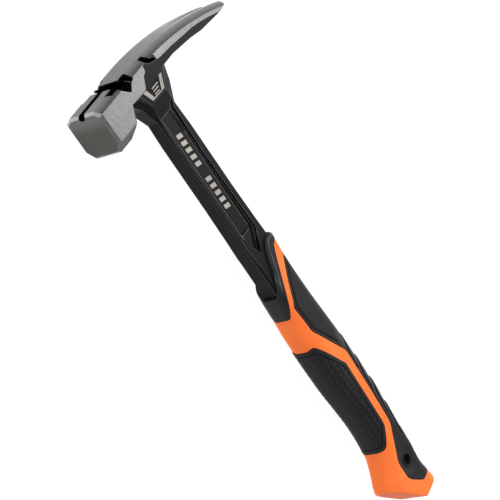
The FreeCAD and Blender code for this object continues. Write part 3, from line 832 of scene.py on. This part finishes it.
# ---------------------------------------------------------------- back pad
BACK_TOP = [(198.9, -11.9), (184.2, -2.3), (166.4, 11.6), (165.4, 13.4)]
BACK_SIDE = [
    (198.9, -11.9), (220.7, -11.7), (250.4, 4.1), (286.3, 2.4), (312.0, 0.4), (336.7, -15.0),
    (350.6, -14.7),
]
BACK_BOTTOM = [(350.6, -14.7), (354.0, -12.8), (363.3, -3.3), (362.4, 8.0), (363.4, 12.2)]
SEAM = (3.0, 0.7)              # inset and half width of the seam round the upper field
SEAM_DEEP = 0.7
SEAM_START = (167.0, 172.0)    # the seam fades in over this stretch of x
UPPER_END = (236.0, 246.0)     # the upper field ends over this stretch of x
FIELD_EDGE, FIELD_HIGH = (2.9, 4.6), 0.15      # the insets between which it rises, and how far
LOBES = [241.0, 260.0, 280.5, 300.0]   # where each lobe starts on the back's middle line
LOBE_LONG = 20.5
LOBE_HIGH = 0.95
LOBE_LINE = [(0.0, 13.0), (1.3, 11.8), (8.4, 6.9), (20.5, 5.4), (26.0, 4.6)]   # x past its start, y
LOBE_GROOVE = (0.7, 0.6)       # half width and depth of the groove at a lobe's start
LOBE_SIDE = (2.5, 5.5)         # the lobes fade in over this stretch of y
LOBE_LIGHT_SPAN = (230.0, 242.0, 316.0, 324.0)  # where the painted highlight on the lobes starts and is full, then fades and ends
TETHER_X, TETHER_Y = 342.0, -4.4
BUSH_RADIUS = 4.7
DISH_REACH, DISH_DEEP = 11.5, 1.3      # radius and depth of the dish round the tether hole
DRILL_SIDES = 64
DRILL_LONG = 40.0


def lobe_start(y, first):
    """Where a lobe starts: nearly straight over the back, then swept down the side."""
    past, back = np.array(LOBE_LINE).T
    return first + np.interp(-y, -back, past)


def back_relief(x, reach, inset):
    """Height of the field, lobes and dish, and how deep in a groove each point is, painted as shade, less a
    painted highlight on the lobes.
    """
    y = skin(x, reach, 0.0)[..., 1]
    upper = 1 - rise(x, *UPPER_END)
    seam_inset, seam_half = SEAM
    seam = groove(inset - seam_inset, seam_half) * upper * rise(x, *SEAM_START)
    lift = FIELD_HIGH * upper * rise(inset, *FIELD_EDGE) - SEAM_DEEP * seam
    shading = seam
    over = rise(y, *LOBE_SIDE)
    half, deep = LOBE_GROOVE
    for first in LOBES:
        past = x - lobe_start(y, first)
        step = rise(past, 0.0, 0.8) * np.clip(1 - past / LOBE_LONG, 0, 1)
        on_lobe = rise(past, -1.0, 0.0) * (past < LOBE_LONG)
        start = grip_path([(first + along, back) for along, back in LOBE_LINE])
        line = over * groove(distance_to(start[::8], x, reach), half)
        lift = lift + over * LOBE_HIGH * (step - 0.35) * on_lobe - deep * line
        shading = np.maximum(shading, line)
    away = np.hypot(x - TETHER_X, y - TETHER_Y)
    lift = lift - DISH_DEEP * (1 - rise(away, BUSH_RADIUS + 1.0, DISH_REACH))
    # Painted highlight on the lobes, carried as negative painted shading.
    lobe_light = over * rise(x, *LOBE_LIGHT_SPAN[:2]) * (1 - rise(x, *LOBE_LIGHT_SPAN[2:]))
    return lift * rise(inset, 0.3, 1.5), shading - lobe_light * (1 - rise(shading, 0.0, 0.4))


BACK_PATHS = (
    grip_path(BACK_TOP, end="back"), grip_path(BACK_SIDE), grip_path(BACK_BOTTOM, end="back"),
)
back_pad, back_border = pad("back_pad_moulding", *BACK_PATHS, 1.0, 400, 72, 0.1, back_relief)
back_pad.data.materials.append(RUBBER)
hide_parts("back_pad")
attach(back_pad, "root")


def drill(thing):
    """Cut the tether hole through a closed piece."""
    sides = DRILL_SIDES
    turns = [2 * math.pi * k / sides for k in range(sides)]
    points = [
        place(TETHER_X + BUSH_RADIUS * math.cos(turn), TETHER_Y + BUSH_RADIUS * math.sin(turn), height)
        for height in (-DRILL_LONG / 2, DRILL_LONG / 2) for turn in turns
    ]
    faces = [tuple(range(sides))[::-1], tuple(range(sides, 2 * sides))]
    faces += [(k, (k + 1) % sides, (k + 1) % sides + sides, k + sides) for k in range(sides)]
    tool = mesh_object("drill", points, faces, smooth=False)
    modifier = thing.modifiers.new("tether_hole", "BOOLEAN")
    modifier.object = tool
    modifier.operation = "DIFFERENCE"
    modifier.solver = "EXACT"
    cut = thing.evaluated_get(bpy.context.evaluated_depsgraph_get())
    drilled = bpy.data.meshes.new_from_object(cut)
    thing.modifiers.clear()
    thing.data = drilled
    bpy.data.objects.remove(tool)


drill(back_pad)

# ---------------------------------------------------------------- collar
COLLAR_LIP = [
    (152.2, 13.9), (152.0, 9.0), (153.0, 5.5), (156.4, 2.0), (162.0, -1.7), (166.9, -3.9),
    (172.6, -6.1), (177.5, -10.7), (183.5, -14.0), (187.5, -15.4),
]
COLLAR_RIDGE = [
    (154.0, 13.9), (154.0, 8.0), (155.0, 5.0), (158.2, 3.0), (166.1, -0.8), (175.6, -5.6),
    (184.4, -11.1), (189.6, -14.2), (190.6, -15.6),
]
COLLAR_FOOT = [
    (157.6, 13.2), (160.4, 7.8), (188.9, -10.3), (192.8, -12.0), (203.6, -15.7), (204.6, -16.4),
]
COLLAR_PROUD = 0.25
COLLAR_CUT = 2.0               # how far the corners of its outlines are cut back
RIDGE_ROW = 16                 # the ring of the collar that lies on its ridge
RIDGE_GLINT_REACH = (10.0, 15.0)      # the ridge gets its painted highlight past this reach, which is off the front
AROUND = 130                   # columns of the collar and the body, over half their girth


def full_ring(near):
    """The ring round a piece, from the points on its near half; the ends go on the middle line."""
    near[0, 2] = near[-1, 2] = 0.0
    return np.vstack([near, near[-2:0:-1] * MIRROR])


def collar_rows():
    """Rows of (x, reach, lift) from the collar's foot up to its lip and in to the shaft."""
    foot, ridge, lip = (
        evenly(grip_path(points, COLLAR_CUT, start="back", end="front"), AROUND)
        for points in (COLLAR_FOOT, COLLAR_RIDGE, COLLAR_LIP)
    )
    rows = [
        (foot, -4.6), (foot, -1.8), (foot, COLLAR_PROUD - 0.35),
        (foot * 0.97 + ridge * 0.03, COLLAR_PROUD - 0.08),
    ]
    for t in np.linspace(0.08, 0.92, 12):
        rows.append((foot * (1 - t) + ridge * t, COLLAR_PROUD))
    on_side = rise(lip[:, 1], 9.0, 15.0)       # the lip is low on the sides and full on the front
    rows += [
        (ridge, COLLAR_PROUD - 0.1), (ridge * 0.88 + lip * 0.12, COLLAR_PROUD - 0.2 - 0.25 * on_side),
    ]
    for t in np.linspace(0.3, 0.85, 4):
        rows.append((ridge * (1 - t) + lip * t, COLLAR_PROUD - 0.2 - (0.2 + 1.2 * t) * on_side))
    rows += [
        (lip, -0.4 - 1.3 * on_side), (lip * 0.97 + ridge * 0.03, -1.3 - 0.9 * on_side),
        (lip * 0.95 + ridge * 0.05, -3.0), (lip * 0.8 + ridge * 0.2, -4.6),
    ]
    return rows


def make_collar():
    """The collar as rings that run from its foot over the ridge to the lip and back inside."""
    rows = collar_rows()
    rings = np.array([full_ring(skin(line[:, 0], line[:, 1], lift)) for line, lift in rows])
    count, columns = rings.shape[:2]
    grid = np.arange(count * columns).reshape(count, columns)
    after, above = np.roll(grid, -1, axis=1), np.roll(grid, -1, axis=0)
    corner = np.roll(after, -1, axis=0)
    faces = np.stack([grid, above, corner, after], axis=-1).reshape(-1, 4).tolist()
    moulding = mesh_object("collar_moulding", [place(*point) for point in rings.reshape(-1, 3)], faces)
    # Painted highlight along the collar's ridge.
    ridge_glint = np.zeros((count, columns))
    reach = rows[RIDGE_ROW][0][:, 1]
    ridge_glint[RIDGE_ROW] = rise(np.concatenate([reach, reach[-2:0:-1]]), *RIDGE_GLINT_REACH)
    moulding.data.attributes.new(RIDGE_MARK, "FLOAT", "POINT").data.foreach_set("value", ridge_glint.ravel())
    return moulding


collar = make_collar()
collar.data.materials.append(PLASTIC)
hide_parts("collar")
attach(collar, "root")

# ---------------------------------------------------------------- orange body
BUTT = [(337.8, -42.0), (347.2, -31.8), (373.0, -8.7), (370.5, 12.4), (369.6, 20.0)]
BUTT_CUT = 1.2                 # how far the corners of its end are cut back
BUTT_ROUND = (1.2, 1.1)        # length along the grip and depth of the butt's rounded edge
BUTT_SCALES = (0.9, 0.75, 0.55, 0.3)   # rings of the flat end, as shares of its rim
BODY_ROWS = 300
UNDER_COLLAR = 3.0             # the body starts this far under the collar
SUNK = 1.6                     # how deep the body lies under the pads and the collar


def butt_x(y):
    """The end of the butt, as x at y."""
    path = rounded_path(BUTT, BUTT_CUT)
    return np.interp(y, path[:, 1], path[:, 0])


def collar_foot_x(shares):
    """The collar's foot at each share of the way from front to back."""
    foot = share(grip_path(COLLAR_FOOT, COLLAR_CUT, start="back", end="front"))
    return np.interp(shares, foot[::-1, 1], foot[::-1, 0])


def inside(border, middle, x, reach, distance):
    """The distance from a pad's border, negative outside the pad; middle is -1 front, 1 back."""
    closed = np.vstack([border, [border[-1, 0], middle * 200.0], [border[0, 0], middle * 200.0]])
    crossings = np.zeros(x.shape, int)
    for (x0, r0), (x1, r1) in zip(closed, np.roll(closed, -1, axis=0)):
        spans = (x0 > x) != (x1 > x)
        at = r0 + (x - x0) * (r1 - r0) / (x1 - x0 if x1 != x0 else 1e-9)
        crossings += spans & (reach < at)
    return np.where(crossings % 2 == 1, distance, -distance)


def body_end(shares):
    """Where the surface meets the butt's end, at each share of the way from front to back."""
    end = np.full(len(shares), 365.0)
    for _ in range(40):
        y = skin(end, shares * half_girth(end), 0.0)[:, 1]
        end = 0.5 * end + 0.5 * butt_x(y)
    return end


def body_rings():
    """Rings of the body's near half down to the middle of its end, and the y of that middle."""
    shares = np.linspace(0, 1, AROUND)
    foot, end = collar_foot_x(shares), body_end(shares)
    start = foot - UNDER_COLLAR
    t = np.linspace(0, 1, BODY_ROWS)[:, None]
    x = start + t * (end - BUTT_ROUND[0] - start)
    reach = shares * half_girth(x)
    depth = np.full(x.shape, -1e9)
    for border, middle in ((front_border, -1), (back_border, 1)):
        thin = border[::6]
        depth = np.maximum(depth, inside(thin, middle, x, reach, distance_to(thin, x, reach)))
    sink = np.maximum(rise(depth, 0.7, 2.0), rise(foot - x, 0.6, 1.6))
    rings = list(skin(x, reach, -SUNK * sink))
    for angle in np.linspace(0, math.pi / 2, 7)[1:]:
        inset = BUTT_ROUND[1] * (1 - math.cos(angle))
        at = end - BUTT_ROUND[0] * (1 - math.sin(angle))
        rings.append(skin(at, shares * half_girth(at), -inset))
    rim = rings[-1]
    middle_y = 0.5 * (rim[0, 1] + rim[-1, 1])
    for scale in BUTT_SCALES:
        y = middle_y + (rim[:, 1] - middle_y) * scale
        rings.append(np.stack([butt_x(y), y, rim[:, 2] * scale], axis=1))
    return rings, middle_y


def make_body():
    """The orange body: closed under the collar, and with a flat end at the butt."""
    near, middle_y = body_rings()
    rings = np.array([full_ring(ring) for ring in near])
    count, columns = rings.shape[:2]
    grid = np.arange(count * columns).reshape(count, columns)
    after = np.roll(grid, -1, axis=1)
    faces = np.stack([grid[:-1], after[:-1], after[1:], grid[1:]], axis=-1).reshape(-1, 4).tolist()
    points = rings.reshape(-1, 3).tolist()
    top, foot = len(points), len(points) + 1
    points += [rings[0].mean(axis=0).tolist(), [float(butt_x(middle_y)), middle_y, 0.0]]
    faces += [(b, a, top) for a, b in zip(grid[0].tolist(), after[0].tolist())]
    faces += [(a, b, foot) for a, b in zip(grid[-1].tolist(), after[-1].tolist())]
    moulding = mesh_object("grip_body_moulding", [place(*point) for point in points], faces)
    # Painted shade on the flat end of the butt.
    sole = np.zeros(len(points))
    sole[(count - len(BUTT_SCALES)) * columns:-2] = 1.0
    sole[-1] = 1.0
    moulding.data.attributes.new(SOLE, "FLOAT", "POINT").data.foreach_set("value", sole)
    return moulding


grip_body = make_body()
drill(grip_body)
grip_body.data.materials.clear()
grip_body.data.materials.append(ORANGE)
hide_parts("grip_body")
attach(grip_body, "root")

# ---------------------------------------------------------------- plain printed marks
MARK_HIGH = 0.03
WEB_Z = 5.2                    # height of the shaft's web panel
PLATE_START, PLATE_Z, PLATE_FALL = 16.0, 15.9, 0.41875     # where it starts, its height, its slope
SHIELD = [
    [(16.5, -18.9), (26.8, -10.9), (25.3, -8.8), (16.5, -15.3)],
    [(26.8, -10.9), (27.3, 4.0), (26.3, 2.4), (25.8, -9.5)],
    [(27.3, 4.0), (16.6, 4.8), (16.2, 1.6), (25.8, 0.5)],
]
BAR_LONG, BAR_PITCH, BAR_SLANT = 3.2, 5.6, 1.4
BAR_LOW, BAR_HIGH = -6.0, -0.6
BAR_ROWS = [(57.0, 5), (92.0, 5)]      # where each row of bars starts, and how many it has
PLATE_BARS = 3                 # bars on the plate, each starting later and further in than the last
PLATE_BAR_LONG, PLATE_BAR_PITCH = 1.1, 2.6
PLATE_BAR_START, PLATE_BAR_LOW, PLATE_BAR_HIGH = 19.0, -9.0, -1.5


def on_plate(x):
    """Height of the sloped plate on the cheek at x."""
    return PLATE_Z - PLATE_FALL * (x - PLATE_START)


def bar(start, low, high, long, slant):
    """A slanted bar from one y to another; long is its length in x."""
    return [(start, low), (start + long, low), (start + long + slant, high), (start + slant, high)]


def print_mark(name, shapes, height):
    """Thin closed plates on the near side; height gives the surface at x."""
    points, faces = [], []
    for shape in shapes:
        first, count = len(points), len(shape)
        for lift in (-MARK_HIGH, MARK_HIGH):
            points += [place(x, y, height(x) + lift) for x, y in shape]
        area = sum(a[0] * b[1] - b[0] * a[1] for a, b in zip(shape, shape[1:] + shape[:1]))
        order = range(count) if area > 0 else range(count - 1, -1, -1)
        ring = [first + index for index in order]
        faces += [tuple(ring[::-1]), tuple(index + count for index in ring)]
        for a, b in zip(ring, ring[1:] + ring[:1]):
            faces.append((a, b, b + count, a + count))
    mark = mesh_object(name, points, faces, smooth=False)
    mark.data.materials.append(MARK_PAINT)
    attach(mark, "root")


MARK_PAINT = moulded("mark_paint", (0.30, 0.27, 0.24), (0.42, 0.385, 0.35), 1.6, 0.01, 0.5, 0.3)
print_mark("cheek_mark", SHIELD, on_plate)
print_mark(
    "plate_bars",
    [bar(PLATE_BAR_START + PLATE_BAR_PITCH * k, PLATE_BAR_LOW + k, PLATE_BAR_HIGH, PLATE_BAR_LONG, 0.0)
     for k in range(PLATE_BARS)],
    on_plate,
)
print_mark(
    "web_mark",
    [bar(start + BAR_PITCH * k, BAR_LOW, BAR_HIGH, BAR_LONG, BAR_SLANT)
     for start, count in BAR_ROWS for k in range(count)],
    lambda x: WEB_Z,
)
